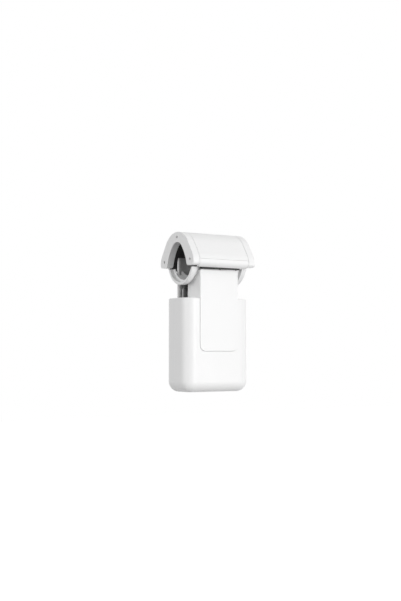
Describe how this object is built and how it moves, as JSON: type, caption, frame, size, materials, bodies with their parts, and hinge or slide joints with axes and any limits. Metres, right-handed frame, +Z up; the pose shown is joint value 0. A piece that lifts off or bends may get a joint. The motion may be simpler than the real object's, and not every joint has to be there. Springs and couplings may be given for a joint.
{
  "type": "curtain robot",
  "caption": "Battery curtain robot: a horseshoe hook with rollers lies over a round curtain rod, and a box on a neck hangs below with a motor-driven rubber wheel that presses on the rod.",
  "frame": {"origin": "on the curtain rod's axis, at the middle of the hook", "axes": "+X along the rod, -Y the front with the long plate, +Z up"},
  "size_m": [0.075, 0.0612, 0.1537],
  "materials": {
    "white_plastic": "fine satin",
    "dark_plastic": "matte",
    "grey_plastic": "satin",
    "black_rubber": "matte",
    "polished_steel": "polished",
    "screw_steel": "satin",
    "gear_plastic": "semi-gloss",
    "motor_can": "satin",
    "lead_insulation": "gloss",
    "cell_wrap": "gloss",
    "gilt_contact": "bright",
    "board_green": "satin",
    "clear_plastic": "clear",
    "bronze": "satin"
  },
  "bodies": {
    "hook": {"hook_cover": "white_plastic", "hook_end_cap_left": "white_plastic", "hook_end_cap_right": "white_plastic", "end_cap_screws": "screw_steel", "hook_frame": "dark_plastic", "rod_saddle": "black_rubber", "idler_axles": "screw_steel", "hook_arm": "polished_steel", "arm_screws": "screw_steel", "return_springs": "screw_steel"},
    "left_idler": {"idler_roller_left": "black_rubber"},
    "right_idler": {"idler_roller_right": "black_rubber"},
    "drive_wheel": {"wheel_hub": "gear_plastic", "drive_tyre": "black_rubber", "wheel_shaft": "screw_steel", "output_gear": "gear_plastic"},
    "first_gear": {"first_gear": "gear_plastic"},
    "second_gear": {"second_gear": "gear_plastic"},
    "rotor": {"motor_shaft": "screw_steel", "motor_pinion": "bronze"},
    "button": {"pairing_button": "white_plastic"},
    "plunger": {"switch_plunger": "dark_plastic"},
    "housing": {"guard_ring_left": "white_plastic", "guard_ring_right": "white_plastic", "neck_housing": "white_plastic", "wheel_cradle": "grey_plastic", "cradle_screws": "screw_steel", "front_plate": "white_plastic", "gear_plate": "white_plastic", "body_front_shell": "white_plastic", "body_rear_shell": "white_plastic", "body_screws": "screw_steel", "arm_guide": "dark_plastic", "chassis": "dark_plastic", "drive_motor": "motor_can", "motor_end_cap": "dark_plastic", "motor_leads": "lead_insulation", "battery_cells": "cell_wrap", "battery_contacts": "gilt_contact", "main_board": "board_green", "board_parts": "dark_plastic", "usb_socket": "motor_can", "switch_case": "dark_plastic", "light_pipe": "clear_plastic", "gear_pins": "screw_steel", "wheel_bushes": "bronze"}
  },
  "joints": [
    {"name": "hook_slide", "type": "slide", "parent": "hook", "child": "housing", "axis": [0, 0, -1], "range_m": [0, 0.026], "stiffness_N_per_m": 500, "springref_m": -0.03, "deforming": ["return_springs"]},
    {"name": "left_idler_spin", "type": "hinge", "parent": "hook", "child": "left_idler", "pos_m": [-0.018, 0, 0.0165], "axis": [0, 1, 0], "continuous": true},
    {"name": "right_idler_spin", "type": "hinge", "parent": "hook", "child": "right_idler", "pos_m": [0.018, 0, 0.0165], "axis": [0, 1, 0], "continuous": true},
    {"name": "drive_wheel_spin", "type": "hinge", "parent": "housing", "child": "drive_wheel", "pos_m": [0, 0, -0.0216], "axis": [0, 1, 0], "continuous": true},
    {"name": "first_gear_spin", "type": "hinge", "parent": "housing", "child": "first_gear", "pos_m": [0, 0, -0.037], "axis": [0, 1, 0], "continuous": true},
    {"name": "second_gear_spin", "type": "hinge", "parent": "housing", "child": "second_gear", "pos_m": [0, 0, -0.0559], "axis": [0, 1, 0], "continuous": true},
    {"name": "motor_spin", "type": "hinge", "parent": "housing", "child": "rotor", "pos_m": [0, 0, -0.0713], "axis": [0, 1, 0], "continuous": true},
    {"name": "button_press", "type": "slide", "parent": "housing", "child": "button", "axis": [0, -1, 0], "range_m": [0, 0.0006], "stiffness_N_per_m": 1500, "springref_m": -0.0003},
    {"name": "plunger_press", "type": "slide", "parent": "housing", "child": "plunger", "axis": [0, -1, 0], "range_m": [0, 0.0006]}
  ],
  "couplings": [
    {"joint": "first_gear_spin", "follows": "drive_wheel_spin", "ratio": -2.1429},
    {"joint": "second_gear_spin", "follows": "drive_wheel_spin", "ratio": 6.1224},
    {"joint": "motor_spin", "follows": "drive_wheel_spin", "ratio": -16.327},
    {"joint": "plunger_press", "follows": "button_press", "ratio": 1}
  ]
}
